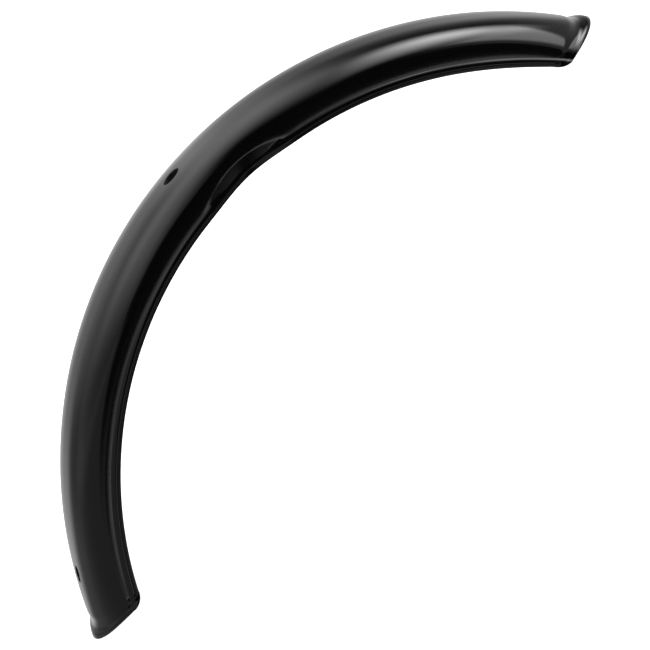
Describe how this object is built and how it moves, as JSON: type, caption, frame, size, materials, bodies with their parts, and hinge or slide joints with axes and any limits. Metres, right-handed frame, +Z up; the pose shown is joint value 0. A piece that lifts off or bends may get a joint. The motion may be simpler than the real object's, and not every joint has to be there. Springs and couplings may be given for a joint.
{
  "type": "scooter front mudguard",
  "caption": "Curved sheet steel mudguard with rolled side beads, flared rounded ends, a pinch for the fork legs, a fork bolt hole and a stay bolt hole.",
  "frame": {"origin": "on the crown's outer surface at the middle of the fork bolt hole", "axes": "+X forward along the crown, +Y across to the left, +Z up along the fork bolt, away from the wheel axle"},
  "size_m": [0.3078, 0.0558, 0.0958],
  "materials": {
    "mudguard": "gloss black paint"
  },
  "bodies": {
    "root": {"mudguard": "mudguard"}
  },
  "joints": []
}
